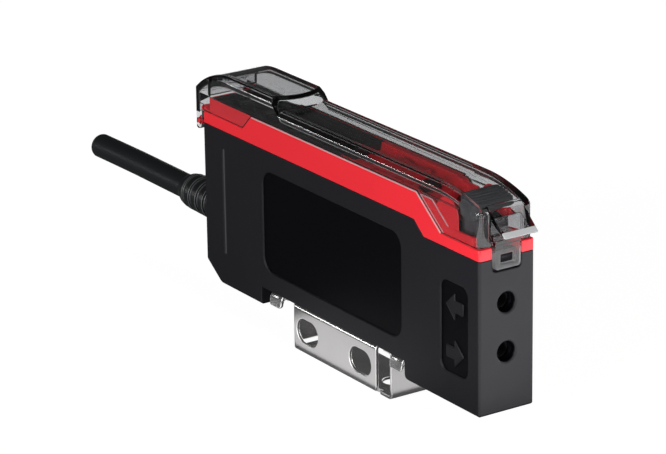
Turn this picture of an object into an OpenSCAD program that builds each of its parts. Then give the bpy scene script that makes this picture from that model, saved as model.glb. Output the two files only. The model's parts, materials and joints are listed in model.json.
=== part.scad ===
// Slim fibre optic sensor amplifier: black housing, red frame, smoky hinged dust cover,
// swing lever that locks two plastic fibres, moulded cable and a folded mounting bracket.
// Millimetres. X runs from the cable to the fibre ports, Z is up, the printed side faces -Y.
// The origin lies under the middle of the bracket, on the plane the bracket stands on.

/* [Housing] */
// length of the housing from back face to fibre face
body_l = 72.3; // [64:0.1:84]
// width of the housing
body_w = 9.6; // [8.8:0.1:12]
// height of the housing under the red frame
body_h = 25.3; // [24:0.1:28]
// drop of the housing top at the fibre end
front_drop = 2.0; // [1.5:0.1:2.5]
// wall thickness of the housing
wall = 1.2; // [0.8:0.1:1.6]
// thickness of the wall that carries the fibre ports
front_wall = 1.7; // [1.2:0.1:2.2]
// rounding of the upright housing edges
edge_r = 0.5; // [0.2:0.1:0.9]
// length of the sloping cut at the rear lower corner
rear_cut_l = 4.55; // [3:0.05:6]
// height of the sloping cut at the rear lower corner
rear_cut_h = 3.2; // [2:0.1:4.5]
// start of the rail recess from the back face
rail_x = 15.9; // [14:0.1:18]
// length of the rail recess
rail_l = 38.1; // [36.5:0.1:40]
// depth of the rail recess
rail_d = 2.9; // [2.4:0.1:3.4]

/* [Side panel] */
// start of the sunk side panel
label_x = 16.7; // [14:0.1:20]
// length of the sunk side panel
label_l = 36.65; // [30:0.05:40]
// lower edge of the sunk side panel
label_z = 5.85; // [5:0.05:8]
// height of the sunk side panel
label_h = 16.25; // [12:0.05:17]
// corner rounding of the sunk side panel
label_r = 2.4; // [1:0.1:4]
// depth of the sunk panels
label_d = 0.25; // [0.1:0.05:0.4]
// distance of the arrow panel from the fibre face
arrow_gap = 2.7; // [2:0.1:4]
// length of the arrow panel
arrow_l = 6.6; // [5:0.1:8]
// lower edge of the arrow panel
arrow_z = 4.7; // [4:0.1:7]
// height of the arrow panel
arrow_h = 13.85; // [11:0.05:15]

/* [Fibre ports] */
// bore of a fibre port
port_d = 2.3; // [2.2:0.05:2.6]
// mouth of a fibre port
mouth_d = 3.55; // [3:0.05:4.2]
// height of the lower fibre port
port_z = 9.05; // [8:0.05:10]
// distance between the two fibre ports
port_pitch = 7.4; // [6.8:0.1:8]

/* [Frame and cover] */
// height of the red frame above the housing
frame_h = 4.3; // [3.6:0.1:5]
// height of the red band at the fibre end
band_h = 1.7; // [1.3:0.1:2.2]
// rise of the cover above the red frame
cover_rise = 2.9; // [2.4:0.1:3.9]
// rise of the rear part above the rest of the cover
hump_rise = 1.7; // [0.9:0.1:3]
// wall thickness of the cover
cover_t = 0.8; // [0.6:0.05:1]
// bevel along the upper cover edges
bevel = 1.0; // [0.6:0.1:1.2]
// width of the bevel seen from above
bevel_w = 0.6; // [0.4:0.1:1]
// length of the raised part
hump_l = 21.0; // [18:0.5:26]
// reach of the finger lip in front of the housing
lip_reach = 3.5; // [2:0.1:4]
// half width of the finger lip
lip_y = 2.9; // [2.4:0.1:3.4]

/* [Bracket] */
// sheet thickness of the bracket
sheet = 0.55; // [0.4:0.05:0.8]
// play of the bracket top plate along the rail recess
plate_gap = 2.6; // [2:0.1:4]
// width of the bracket
bracket_w = 9.0; // [8.4:0.1:9.2]
// height of the bracket below the housing
bracket_drop = 4.85; // [4.2:0.05:6]
// length of the bent side plate
side_l = 22.4; // [20:0.1:25]
// length of a screw slot
slot_l = 5.7; // [5:0.1:7]
// height of a screw slot
slot_h = 3.9; // [3.2:0.1:4.2]
// distance between the screw slots
slot_pitch = 14.1; // [13.5:0.1:15]

/* [Cable] */
// diameter of the cable
cable_d = 4.0; // [3.6:0.1:5]
// free length of the cable behind the housing
cable_l = 40.5; // [36:0.5:60]
// diameter of the moulded cable boot
boot_d = 5.8; // [5.2:0.1:7]
// length of the moulded cable boot
boot_l = 12.6; // [11:0.1:18]
// height of the cable axis
cable_z = 10.2; // [9:0.1:12]

/* [Hidden] */
$fn = 48;
half_w = body_w / 2;
front_top = body_h - front_drop;
frame_top = body_h + frame_h;
band_top = front_top + band_h;
cover_top = frame_top + cover_rise;
hump_top = cover_top + hump_rise;
plate_shift = 0.45;
plate_l = rail_l - plate_gap;
mid_x = rail_x + rail_l / 2 + plate_shift;
fit = 0.05;
slack = 0.2;
over = 0.5;
in_y = half_w - wall;
floor_z = rail_d + wall;
step_x = body_l - 15.7;
step_l = 2.4;
slant_x = step_x + 0.6;
slant_l = 6.0;
arrow_x = body_l - arrow_gap - arrow_l;
front_in = body_l - front_wall;
port_z2 = port_z + port_pitch;

// tray inside the red frame
tray_y = 3.2;
cheek_y = 3.4;
cheek_t = 0.25;
collar_t = 0.5;
tray_rear = 2.8;
tray_front = step_x + 1.0;
panel_top = frame_top - 1.2;
panel_t = 1.3;
rim_y = 3.95;
rim_t = 0.7;
rim_x = tray_rear - 0.9;

// cover hinge
hinge_x = -1.35;
hinge_z = body_h - 0.2;
knuckle_r = 1.15;
hinge_pin_r = 0.45;
cover_y = half_w;
cover_in = half_w - cover_t;
rear_x = -2.5;
rear_r = 1.6;
back_x = 7.5;
back_r = 14.6;
cover_front = body_l - 0.3;
nose_x = cover_front - 10;
nose_r = 27.0;
nose_tip_r = 1.4;
ear_z = frame_top - 2.4;
ear_rear = -0.1;
ear_foot = 11.4;
ear_end = 13.9;
ear_side = half_w - 0.75;
rib_x = 1.2;
rib_t = 0.7;
rear_bevel = 0.3;

// latch tab
tab_y = 2.25;
tab_z = front_top - 1.7;
tab_x = body_l - 0.55;
tab_t = 0.8;
tab_win_y = 1.25;
tab_win_z = tab_z + 0.8;
tab_win_h = 1.4;

// lever
lever_x = body_l - 6.3;
lever_z = front_top - 1.3;
axle_r = 0.7;
hub_r = 1.6;
lever_y = 2.5;
grip_y = 3.3;
block_x = lever_x - 5.8;
block_top = front_top - 3.3;
clamp_x = lever_x - 1.9;
clamp_t = 1.6;
clamp_y = 2.5;
clamp_low = port_z - 2.15;
clamp_play = 0.7;
post_y = lever_y + 0.25;

// boards
board_t = 1.0;
key_z = panel_top - 4.4;
key_t = 0.8;
board_x = 4.0;
opto_l = 3.2;
board_l = block_x - opto_l - board_x;

// route of the cable behind the housing, a slight droop
route = [
    [2.4, cable_z],
    [-8, cable_z],
    [-20, cable_z],
    [-28, cable_z],
    [-35, cable_z - 0.1],
    [-cable_l, cable_z - 0.2]
];

// body frame: x from the back face, z from the housing bottom
module at_body() {
    translate([-mid_x, 0, bracket_drop]) children();
}

// a drawing of x and z, made solid across the width from y0 to y1
module across(y0, y1) {
    translate([0, y1, 0]) rotate([90, 0, 0]) linear_extrude(height = y1 - y0) children();
}

// a drawing of y and z, made solid along the length from x0 to x1
module along(x0, x1) {
    translate([x0, 0, 0]) rotate([90, 0, 90]) linear_extrude(height = x1 - x0) children();
}

// a drawing of x and y, made solid upwards from z0 to z1
module upright(z0, z1) {
    translate([0, 0, z0]) linear_extrude(height = z1 - z0) children();
}

module box(x0, x1, y0, y1, z0, z1) {
    translate([x0, y0, z0]) cube([x1 - x0, y1 - y0, z1 - z0]);
}

// round bar along the length
module bar_x(x0, x1, z, r) {
    translate([x0, 0, z]) rotate([0, 90, 0]) cylinder(h = x1 - x0, r = r);
}

// round bar across the width
module bar_y(x, z, r, y0, y1) {
    translate([x, y1, z]) rotate([90, 0, 0]) cylinder(h = y1 - y0, r = r);
}

// rectangle with round corners, lower left corner at the origin
module round_rect(l, h, r) {
    translate([r, 0]) square([l - 2 * r, h]);
    translate([0, r]) square([l, h - 2 * r]);
    for (x = [r, l - r]) {
        for (y = [r, h - r]) {
            translate([x, y]) circle(r = r);
        }
    }
}

// slot with round ends, centred
module obround(l, h) {
    square([l - h, h], center = true);
    for (s = [-1, 1]) {
        translate([s * (l - h) / 2, 0]) circle(d = h);
    }
}

// arrow that points to -x, centred
module arrow_shape() {
    polygon([[-2.1, 0], [0, 2.0], [0, 0.9], [2.0, 0.9], [2.0, -0.9], [0, -0.9], [0, -2.0]]);
}

// housing: open-top moulded shell

module housing_side() {
    foot_r = 1.0;
    rail_end = rail_x + rail_l;
    difference() {
        polygon([
            [0, rear_cut_h], [rear_cut_l, 0], [rail_x, 0], [rail_x, rail_d],
            [rail_end, rail_d], [rail_end, 0], [body_l, 0], [body_l, front_top],
            [step_x + step_l, front_top], [step_x, body_h], [0, body_h]
        ]);
        difference() {
            translate([rail_end - over, -over]) square([foot_r + over, foot_r + over]);
            translate([rail_end + foot_r, foot_r]) circle(r = foot_r);
        }
        difference() {
            translate([body_l - edge_r, -over]) square([edge_r + over, edge_r + over]);
            translate([body_l - edge_r, edge_r]) circle(r = edge_r);
        }
    }
}

module housing_plan() {
    translate([0, -half_w]) round_rect(body_l, body_w, edge_r);
}

module housing_end() {
    translate([-half_w, 0]) round_rect(body_w, body_h / 2, edge_r);
    translate([-half_w, edge_r]) square([body_w, body_h - edge_r]);
}

module housing_cavity() {
    box(wall, front_in, -in_y, in_y, floor_z, body_h + over);
}

module rail_hooks() {
    hook_y = 2.5;
    hook_reach = 2.6;
    across(-hook_y, hook_y) polygon([
        [rail_x - over, 0.6], [rail_x, 0.6], [rail_x + hook_reach, 1.5],
        [rail_x + hook_reach, rail_d - sheet - fit], [rail_x - over, rail_d - sheet - fit]
    ]);
    rail_end = rail_x + rail_l;
    across(-hook_y, hook_y) polygon([
        [rail_end + over, 1.1], [rail_end, 1.1], [rail_end - 1.4, 1.7],
        [rail_end - 1.4, rail_d - sheet - fit], [rail_end + over, rail_d - sheet - fit]
    ]);
}

module port_cut(z) {
    // bore, wider cup in front of it, and the broken edge of the mouth
    cup_r = (port_d + mouth_d) / 4;
    cup_l = 0.65 * front_wall;
    mouth_l = 0.3;
    bar_x(front_in - over, body_l + over, z, port_d / 2 + fit);
    bar_x(body_l - cup_l, body_l + over, z, cup_r);
    translate([body_l - mouth_l, 0, z]) rotate([0, 90, 0])
        cylinder(h = mouth_l + fit, r1 = cup_r, r2 = mouth_d / 2 + fit);
}

module label_sink() {
    across(-half_w - over, -half_w + label_d)
        translate([label_x, label_z]) round_rect(label_l, label_h, label_r);
}

module arrow_sink() {
    across(-half_w - over, -half_w + label_d)
        translate([arrow_x, arrow_z]) round_rect(arrow_l, arrow_h, 1.5);
}

module arrows() {
    mid = arrow_x + arrow_l / 2;
    across(-half_w + 0.1, -half_w + label_d + fit)
        translate([mid, arrow_z + arrow_h - 3.6]) arrow_shape();
    across(-half_w + 0.1, -half_w + label_d + fit)
        translate([mid, arrow_z + 3.2]) mirror([1, 0]) arrow_shape();
}

module tab_pocket() {
    along(body_l - 0.75, body_l + over) union() {
        translate([-tab_y - 0.3, tab_z - 0.35]) round_rect(2 * tab_y + 0.6, front_top - tab_z, 0.7);
        translate([-tab_y - 0.3, tab_z + 0.4]) square([2 * tab_y + 0.6, front_top + over - tab_z - 0.4]);
    }
}

module housing_parts() {
    groove_x = 5.45;
    difference() {
        intersection() {
            across(-half_w, half_w) housing_side();
            upright(0, body_h) housing_plan();
            along(0, body_l) housing_end();
        }
        housing_cavity();
        port_cut(port_z);
        port_cut(port_z2);
        label_sink();
        arrow_sink();
        tab_pocket();
        box(groove_x, groove_x + 0.6, -half_w - over, -half_w + 0.2, label_z - 0.6, body_h - 2.9);
        bar_x(-over, wall + over, cable_z, boot_d / 2 - 0.35);
    }
    rail_hooks();
    arrows();
    // catch behind the window of the cover tab
    box(body_l - 0.8, tab_x - fit, -tab_win_y + 0.25, tab_win_y - 0.25,
        tab_win_z + 0.35, tab_win_z + tab_win_h - 0.55);
}

module housing() {
    color([0.07, 0.07, 0.08]) at_body() housing_parts();
}

// red frame

module frame_side() {
    polygon([
        [0.3, body_h], [step_x, body_h], [step_x + step_l, front_top], [body_l, front_top],
        [body_l, band_top], [slant_x + slant_l, band_top], [slant_x, frame_top],
        [1.5, frame_top], [1.5, ear_z - fit], [0.3, ear_z - fit]
    ]);
}

module ear_side_shape(gap) {
    // the sloping front end runs on in line above the frame
    run = (ear_end - ear_foot) / (frame_top + fit - ear_z);
    polygon([
        [ear_rear - over, ear_z - gap], [ear_foot + gap * (1 - run), ear_z - gap],
        [ear_foot + gap + run * (frame_top + over - ear_z), frame_top + over],
        [ear_rear - over, frame_top + over]
    ]);
}

// domed cheek beside the lever
module frame_cheek() {
    dome_r = 2.7;
    dome_x = lever_x - 2.3;
    dome_z = frame_top - 1.9;
    foot_z = front_top + 0.4;
    translate([dome_x, dome_z]) circle(r = dome_r);
    translate([slant_x, foot_z]) square([dome_x + dome_r - slant_x, dome_z - foot_z]);
}

// thicker collar along the rim of the cover
module frame_collar() {
    collar_w = 2.8;
    collar_h = 1.2;
    sink = 0.3;
    foot_z = front_top + 0.4;
    run = slant_l / (frame_top - band_top);
    polygon([
        [slant_x - over, frame_top - sink], [slant_x + collar_w + sink * run, frame_top - sink],
        [slant_x + collar_w + run * (frame_top - band_top - collar_h), band_top + collar_h],
        [front_in - 0.6, band_top + collar_h], [front_in - 0.6, foot_z], [slant_x - over, foot_z]
    ]);
}

module hinge_lug() {
    lug_y = ear_side - 0.35;
    difference() {
        union() {
            bar_y(hinge_x, hinge_z, 0.85, -lug_y, lug_y);
            box(hinge_x, 1.6, -lug_y, lug_y, body_h + fit, ear_z + 0.2);
            bar_y(hinge_x + 0.7, ear_z - 0.1, 0.7, -lug_y, lug_y);
        }
        box(-over * 6, 0.3, -tray_y + 1.2, tray_y - 1.2, hinge_z - 2, ear_z + 2);
    }
    for (s = [-1, 1]) {
        bar_y(hinge_x, hinge_z, hinge_pin_r, min(s * 2.6, s * 4.65), max(s * 2.6, s * 4.65));
    }
}

// openings of the front deck for the rocker with its pivots and for the set key
module deck_cuts() {
    box(rock_x - rock_l / 2 - slack, rock_x + rock_l / 2 + slack, -rock_y - slack, rock_y + slack,
        panel_top - panel_t - over, panel_top + over);
    bar_y(rock_x, pivot_z, pivot_r + fit, -rock_y - 0.75, rock_y + 0.75);
    translate([set_x, 0, panel_top - panel_t - over]) cylinder(h = panel_t + 2 * over, r = set_r + slack);
}

module bezel_parts() {
    difference() {
        intersection() {
            across(-half_w, half_w) frame_side();
            upright(front_top - over, frame_top + over) housing_plan();
        }
        across(-half_w - over, -ear_side + fit) ear_side_shape(fit);
        across(ear_side - fit, half_w + over) ear_side_shape(fit);
        box(tray_rear, deck_x, -tray_y, tray_y, front_top - over, frame_top + over);
        box(rim_x, deck_x, -rim_y, rim_y, frame_top - rim_t, frame_top + over);
        box(deck_x - over, tray_front, -tray_y, tray_y, panel_top, frame_top + over);
        box(deck_x - over, tray_front, -tray_y, tray_y, front_top - over, panel_top - panel_t);
        deck_cuts();
        box(tray_front - fit, front_in, -tray_y, tray_y, front_top - over, frame_top + over);
        box(front_in - 0.4, body_l + over, -tab_y - 0.3, tab_y + 0.3, front_top - over, frame_top);
    }
    intersection() {
        union() {
            across(cheek_y, cheek_y + cheek_t) frame_cheek();
            across(-cheek_y - cheek_t, -cheek_y) frame_cheek();
            across(cheek_y, cheek_y + collar_t) frame_collar();
            across(-cheek_y - collar_t, -cheek_y) frame_collar();
        }
        box(step_x, front_in, -half_w, half_w, front_top + 0.2, frame_top + 1.0);
    }
    hinge_lug();
}

module bezel_frame() {
    color([0.90, 0.10, 0.13]) at_body() bezel_parts();
}

// dust cover

// points of an arc, on it when out is 0, or corners of the tangent lines round it when out is 1
function arc(cx, cz, r, a0, a1, n, out) = let (h = (a1 - a0) / n, q = out == 1 ? r / cos(h / 2) : r) [
    for (i = [0 : n - out]) let (a = a0 + h * (i + out / 2)) [cx + q * cos(a), cz + q * sin(a)]
];

deep = -60;
nose_a = acos((cover_front - nose_tip_r - nose_x) / (nose_r - nose_tip_r));
nose_cz = cover_top - nose_r;
tip_cx = cover_front - nose_tip_r;
tip_cz = nose_cz + (nose_r - nose_tip_r) * sin(nose_a);

// upper outline from rear to front, shrunk by the wall t
function low_top(t, out) = concat(
    [[1.5, cover_top - t]],
    arc(nose_x, nose_cz, nose_r - t, 90, nose_a, 14, out),
    arc(tip_cx, tip_cz, nose_tip_r - t, nose_a, 0, 8, out)
);
back_cz = hump_top - back_r;
rear_cx = rear_x + rear_r;
rear_a = 180 - acos((back_x - rear_cx) / (back_r - rear_r));
rear_cz = back_cz + (back_r - rear_r) * sin(rear_a);
function hump_rear(t, out) = concat(
    arc(rear_cx, rear_cz, rear_r - t, 180, rear_a, 6, out),
    arc(back_x, back_cz, back_r - t, rear_a, 90, 12, out)
);

// outline in x and u, where u is measured square to the sloping bevel
function squeezed(p, k, u0) = [for (q = p) [q[0], q[1] * k + u0]];

function low_line(t, out) = concat([[1.5, deep]], low_top(t, out), [[cover_front - t, deep]]);
function hump_line(t, out) = concat(
    [[rear_x + t, deep]], hump_rear(t, out), [[hump_l + 3, hump_top - t], [hump_l + 3, deep]]
);

// solid under an outline, w wide each side, with both upper edges bevelled b down and bw in
module bevelled(line, round_line, w, b, bw) {
    n = sqrt(b * b + bw * bw);
    tilt = atan2(b, bw);
    cut = squeezed(round_line, bw / n, (w - bw) * b / n);
    intersection() {
        across(-w, w) polygon(line);
        rotate([tilt, 0, 0]) across(-90, 90) polygon(cut);
        rotate([-tilt, 0, 0]) across(-90, 90) polygon(cut);
    }
}

module hump_cone(t) {
    cone_x = hump_l - 6.4;
    cone_z = hump_top - 14.2;
    union() {
        box(-10, cone_x, -10, 10, cone_z, cone_z + 20);
        translate([cone_x, 0, cone_z]) cylinder(h = 20, r1 = 17.0 - t, r2 = 2.0 - t, $fn = 96);
    }
}

module cover_plan(t) {
    translate([rear_x + t, -cover_y + t]) round_rect(mid_x, body_w - 2 * t, 1.0 - t * 0.6);
    translate([hump_l, -cover_y + t])
        round_rect(cover_front - hump_l - t, body_w - 2 * t, 1.2 - t * 0.6);
}

module cover_solid(t) {
    intersection() {
        union() {
            bevelled(low_line(t, 0), low_line(t, 1), cover_y - t, bevel, bevel_w);
            intersection() {
                bevelled(hump_line(t, 0), hump_line(t, 1), cover_y - t, bevel, bevel_w);
                hump_cone(t);
            }
            // behind the rib the side walls run up to the rear rounding
            intersection() {
                bevelled(hump_line(t, 0), hump_line(t, 1), cover_y - t, rear_bevel, rear_bevel);
                box(-10, rib_x + rib_t - t / 2, -10, 10, 18, 40);
            }
        }
        upright(18, 40) cover_plan(t);
    }
}

// everything below the rim of the side walls
module below_rim() {
    polygon([
        [ear_rear, 10], [ear_rear, ear_z], [ear_foot, ear_z], [ear_end, frame_top + fit],
        [slant_x + fit, frame_top + fit], [slant_x + slant_l + fit, band_top + fit],
        [body_l + 10, band_top + fit], [body_l + 10, 10]
    ]);
}

module knuckle() {
    circle(r = knuckle_r);
    translate([rear_x - hinge_x, 0]) square([ear_rear - rear_x, 3]);
}

module cover_shell() {
    difference() {
        cover_solid(0);
        cover_solid(cover_t);
        across(-20, 20) below_rim();
        box(rear_x - over, ear_rear + over, -20, 20, 10, hinge_z + 1.4);
        // the ears thin out where they lie over the red frame
        box(ear_rear - 1, 20, -ear_side, ear_side, ear_z - over, frame_top + fit);
    }
    for (s = [-1, 1]) {
        intersection() {
            across(min(s * (ear_side - fit), s * half_w), max(s * (ear_side - fit), s * half_w))
                translate([hinge_x, hinge_z]) knuckle();
            upright(18, 40) cover_plan(0);
        }
    }
    // shallow line inside the front part of both side walls
    for (s = [-1, 1]) {
        box(slant_x + 0.6, cover_front - 5, min(s * (cover_in - 0.12), s * (cover_in + fit)),
            max(s * (cover_in - 0.12), s * (cover_in + fit)), frame_top - 0.05, frame_top + 0.15);
    }
}

module cover_lip() {
    lip_top = cover_top - 1.6;
    lip_low = band_top + 0.4;
    lip_edge = band_top + 2.3;
    lip_x = body_l + lip_reach;
    outer = [
        [cover_front - 0.8, lip_top], [cover_front - 0.6, lip_low],
        [lip_x, lip_edge], [cover_front - 0.4, lip_top]
    ];
    inner = [
        [cover_front - 1.0, lip_top - 1.3], [cover_front - 1.1, lip_low - 5],
        [lip_x - 0.9, lip_low - 5], [lip_x - 0.9, lip_edge - 0.1]
    ];
    difference() {
        across(-lip_y, lip_y) polygon(outer);
        across(-lip_y + 0.6, lip_y - 0.6) polygon(inner);
        box(nose_x, cover_front - cover_t, -10, 10, 20, 40);
    }
}

module cover_tab() {
    tab_r = 0.6;
    along(tab_x, tab_x + tab_t) union() {
        translate([-tab_y, tab_z]) round_rect(2 * tab_y, front_top - tab_z, tab_r);
        translate([-tab_y, tab_z + tab_r]) square([2 * tab_y, band_top + 1.8 - tab_z - tab_r]);
    }
}

module dust_cover_parts() {
    difference() {
        union() {
            cover_shell();
            cover_lip();
            cover_tab();
            intersection() {
                box(rib_x, rib_x + rib_t, -cover_in - fit, cover_in + fit, frame_top + 0.3, 40);
                cover_solid(cover_t / 2);
            }
        }
        box(tab_x - over, tab_x + tab_t + over, -tab_win_y, tab_win_y,
            tab_win_z, tab_win_z + tab_win_h);
        bar_y(hinge_x, hinge_z, hinge_pin_r + fit, -half_w - over, half_w + over);
    }
}

module dust_cover() {
    color([0.45, 0.45, 0.48, 0.4]) at_body() dust_cover_parts();
}

// operator panel under the cover

set_x = tray_front - 3.3;
set_r = 1.5;
rock_x = set_x - 7.1;
rock_l = 8.0;
rock_y = 2.2;
pivot_r = 0.4;
pivot_z = panel_top - 0.65;
deck_x = rock_x - rock_l / 2 - 6.2;
win_x = 21.5;
win_l = deck_x - 0.6 - win_x;
win_y = 2.5;
mode_x = 6.0;
out_x = 12.4;
knob_w = 2.0;
knob_l = 1.6;
knob_travel = 1.6;
switch_h = 1.65;
pipe_x = 18.7;

module knob_slot(x) {
    box(x - knob_l / 2 - slack, x + knob_l / 2 + knob_travel + slack,
        -knob_w / 2 - slack, knob_w / 2 + slack, 0, 40);
}

module operator_panel() {
    color([0.10, 0.10, 0.11]) at_body() difference() {
        union() {
            box(tray_rear, deck_x, -tray_y, tray_y, panel_top - panel_t, frame_top);
            box(rim_x, deck_x, -rim_y, rim_y, frame_top - rim_t, frame_top);
        }
        box(tray_rear + 0.5, deck_x - 0.5, -tray_y + 0.4, tray_y - 0.4, panel_top, frame_top + over);
        box(win_x, win_x + win_l, -win_y, win_y, panel_top - 0.6, 40);
        box(win_x + 0.6, win_x + win_l - 0.6, -win_y + 0.4, win_y - 0.4, 0, 40);
        knob_slot(mode_x);
        knob_slot(out_x);
        translate([pipe_x, 0, 0]) cylinder(h = 40, r = 0.8);
    }
}

module display_window() {
    color([0.12, 0.05, 0.06, 0.8]) at_body()
        box(win_x, win_x + win_l, -win_y, win_y, panel_top - 0.6, panel_top + 0.1);
}

module display_module() {
    color([0.75, 0.75, 0.73]) at_body() {
        box(win_x + 0.8, win_x + win_l - 0.8, -2.0, 2.0, key_z + key_t, panel_top - panel_t + 0.4);
    }
}

module indicator_pipe() {
    color([0.95, 0.75, 0.3]) at_body()
        translate([pipe_x, 0, key_z + key_t]) cylinder(h = panel_top + 0.35 - key_z - key_t, r = 0.8);
}

module rocker_button() {
    color([0.78, 0.09, 0.12]) at_body() difference() {
        union() {
            box(rock_x - rock_l / 2, rock_x + rock_l / 2, -rock_y, rock_y, panel_top - 1.0, panel_top + 0.9);
            bar_y(rock_x, pivot_z, pivot_r, -rock_y - 0.6, rock_y + 0.6);
        }
        // finger hollow between the two pads
        bar_y(rock_x, panel_top + 5.5, 5.0, -10, 10);
    }
}

module set_button() {
    color([0.16, 0.16, 0.17]) at_body() translate([set_x, 0, 0]) {
        translate([0, 0, key_z + key_t + 1.2]) cylinder(h = panel_top + 0.7 - key_z - key_t - 1.2, r = set_r);
        translate([0, 0, panel_top - panel_t - 0.6]) cylinder(h = 0.6, r = set_r + 0.7);
    }
}

module knob(x) {
    box(x - knob_l / 2, x + knob_l / 2, -knob_w / 2, knob_w / 2, key_z + key_t + switch_h, panel_top + 0.8);
    box(x - knob_l / 2 + 0.3, x + knob_l / 2 - 0.3, -knob_w / 2, knob_w / 2, panel_top + 0.7, panel_top + 1.0);
}

module mode_knob() {
    color([0.82, 0.82, 0.80]) at_body() knob(mode_x);
}

module output_knob() {
    color([0.82, 0.82, 0.80]) at_body() knob(out_x);
}

// boards

module key_board() {
    color([0.05, 0.30, 0.14]) at_body()
        box(board_x, board_x + board_l, -tray_y + slack, tray_y - slack, key_z, key_z + key_t);
}

module tact_switches() {
    color([0.70, 0.70, 0.68]) at_body() {
        for (x = [rock_x - 2.6, rock_x + 2.6]) {
            box(x - 1.3, x + 1.3, -1.3, 1.3, key_z + key_t, key_z + key_t + 1.2);
            translate([x, 0, key_z + key_t + 1.1]) cylinder(h = 1.1, r = 0.6);
        }
        box(set_x - 1.3, set_x + 1.3, -1.3, 1.3, key_z + key_t, key_z + key_t + 0.65);
    }
}

module slide_switches() {
    color([0.60, 0.60, 0.62]) at_body() {
        for (x = [mode_x, out_x]) {
            box(x - 1.6, x + knob_travel + 1.6, -1.8, 1.8, key_z + key_t, key_z + key_t + switch_h);
        }
    }
}

module main_board() {
    color([0.05, 0.30, 0.14]) at_body()
        box(board_x, board_x + board_l, -board_t / 2, board_t / 2, floor_z, key_z);
}

module board_components() {
    color([0.12, 0.12, 0.13]) at_body() {
        chip_y = board_t / 2;
        rear = board_x + 4;
        front = board_x + board_l - 7;
        low = floor_z + 4;
        high = key_z - 4;
        box(rear + 10, rear + 17, chip_y, chip_y + 1.0, low + 2, low + 9);
        box(rear + 22, rear + 27, chip_y, chip_y + 1.2, low, low + 4);
        box(front - 12, front - 8, chip_y, chip_y + 1.6, high - 5, high - 1);
        box(front - 4, front, chip_y, chip_y + 1.0, low, low + 6);
        box(rear, rear + 4, -chip_y - 2.0, -chip_y, high - 6, high);
        box(front - 10, front - 4, -chip_y - 1.2, -chip_y, low + 1, low + 7);
        box(rear + 14, rear + 18, -chip_y - 1.4, -chip_y, high - 4, high);
        for (i = [0 : 3]) {
            box(rear + 20 + i * 2.5, rear + 21.2 + i * 2.5, -chip_y - 0.6, -chip_y, high - 2, high);
        }
    }
}

// optics and fibre lock

module opto(z) {
    translate([board_x + board_l, 0, z]) rotate([0, 90, 0]) {
        cylinder(h = 1.2, r = 2.1);
        cylinder(h = opto_l, r = 1.6);
    }
}

module emitter_led() {
    color([0.85, 0.30, 0.25]) at_body() opto(port_z2);
}

module receiver_diode() {
    color([0.20, 0.16, 0.22]) at_body() opto(port_z);
}

module fibre_block() {
    color([0.14, 0.14, 0.15]) at_body() difference() {
        union() {
            box(block_x, front_in, -in_y, in_y, floor_z, block_top);
            for (s = [-1, 1]) {
                box(lever_x - 1.9, lever_x + 1.9, min(s * post_y, s * in_y), max(s * post_y, s * in_y),
                    block_top - over, front_top - fit);
            }
        }
        bar_x(block_x - over, front_in + over, port_z, port_d / 2 + fit);
        bar_x(block_x - over, front_in + over, port_z2, port_d / 2 + fit);
        box(clamp_x - fit, clamp_x + clamp_t + fit, -clamp_y - fit, clamp_y + fit, clamp_low - clamp_play, 40);
        bar_y(lever_x, lever_z, axle_r, -10, 10);
    }
}

// window of the plate round a fibre; its upper edge bites when the lever presses
module clamp_hole(z) {
    window = port_d + 0.6;
    along(clamp_x - over, clamp_x + clamp_t + over)
        translate([-window / 2, z - port_d / 2 - 0.1]) square([window, port_d + 0.5]);
}

module clamp_plate() {
    color([0.70, 0.71, 0.73]) at_body() difference() {
        box(clamp_x, clamp_x + clamp_t, -clamp_y, clamp_y, clamp_low, block_top + 0.1);
        clamp_hole(port_z);
        clamp_hole(port_z2);
    }
}

module lever_axle() {
    color([0.70, 0.71, 0.73]) at_body() bar_y(lever_x, lever_z, axle_r, -in_y + 0.1, in_y - 0.1);
}

module lever_side() {
    translate([lever_x, lever_z]) circle(r = hub_r);
    polygon([
        [lever_x - 1.1, lever_z], [lever_x + 1.5, lever_z], [lever_x + 2.4, lever_z + 4.5],
        [lever_x + 2.4, lever_z + 7.4], [lever_x - 0.1, lever_z + 7.4], [lever_x - 0.4, lever_z + 4.5]
    ]);
}

module grip_side() {
    rib = 0.62;
    difference() {
        polygon([
            [lever_x - 0.1, lever_z + 6.6], [lever_x + 3.0, lever_z + 6.2], [lever_x + 3.6, lever_z + 6.8],
            [lever_x + 3.6, lever_z + 7.9], [lever_x + 3.2, lever_z + 8.3],
            [lever_x - 0.1, lever_z + 9.15]
        ]);
        for (i = [0 : 4]) {
            translate([lever_x + 0.35 + i * rib, lever_z + 9.04 - i * rib * 0.258]) circle(r = 0.16, $fn = 24);
        }
    }
}

module fibre_lever() {
    color([0.09, 0.09, 0.10]) at_body() difference() {
        union() {
            across(-lever_y, lever_y) lever_side();
            intersection() {
                across(-grip_y, grip_y) grip_side();
                upright(20, 40) translate([lever_x - 0.1, -grip_y]) round_rect(3.7, 2 * grip_y, 0.8);
            }
        }
        bar_y(lever_x, lever_z, axle_r + fit, -10, 10);
    }
}

// cable and boot

module boot_line() {
    r = boot_d / 2;
    core = cable_d / 2;
    polygon([
        [core, -1.0 - wall], [r + 0.4, -1.0 - wall], [r + 0.4, -wall], [r - 0.4, -wall], [r - 0.4, 0],
        [r + 0.15, 0], [r, boot_l - 2.4], [r - 0.25, boot_l - 1.2], [r - 0.6, boot_l - 0.4], [core + 0.2, boot_l],
        [core, boot_l]
    ]);
}

module strain_relief() {
    groove_w = 0.7;
    color([0.08, 0.08, 0.09]) at_body() translate([0, 0, cable_z]) rotate([0, -90, 0]) rotate_extrude()
        difference() {
            boot_line();
            for (i = [0 : 4]) {
                translate([boot_d / 2 - 0.35, 1.3 + i * 2.1]) square([1, groove_w]);
            }
        }
}

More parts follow.
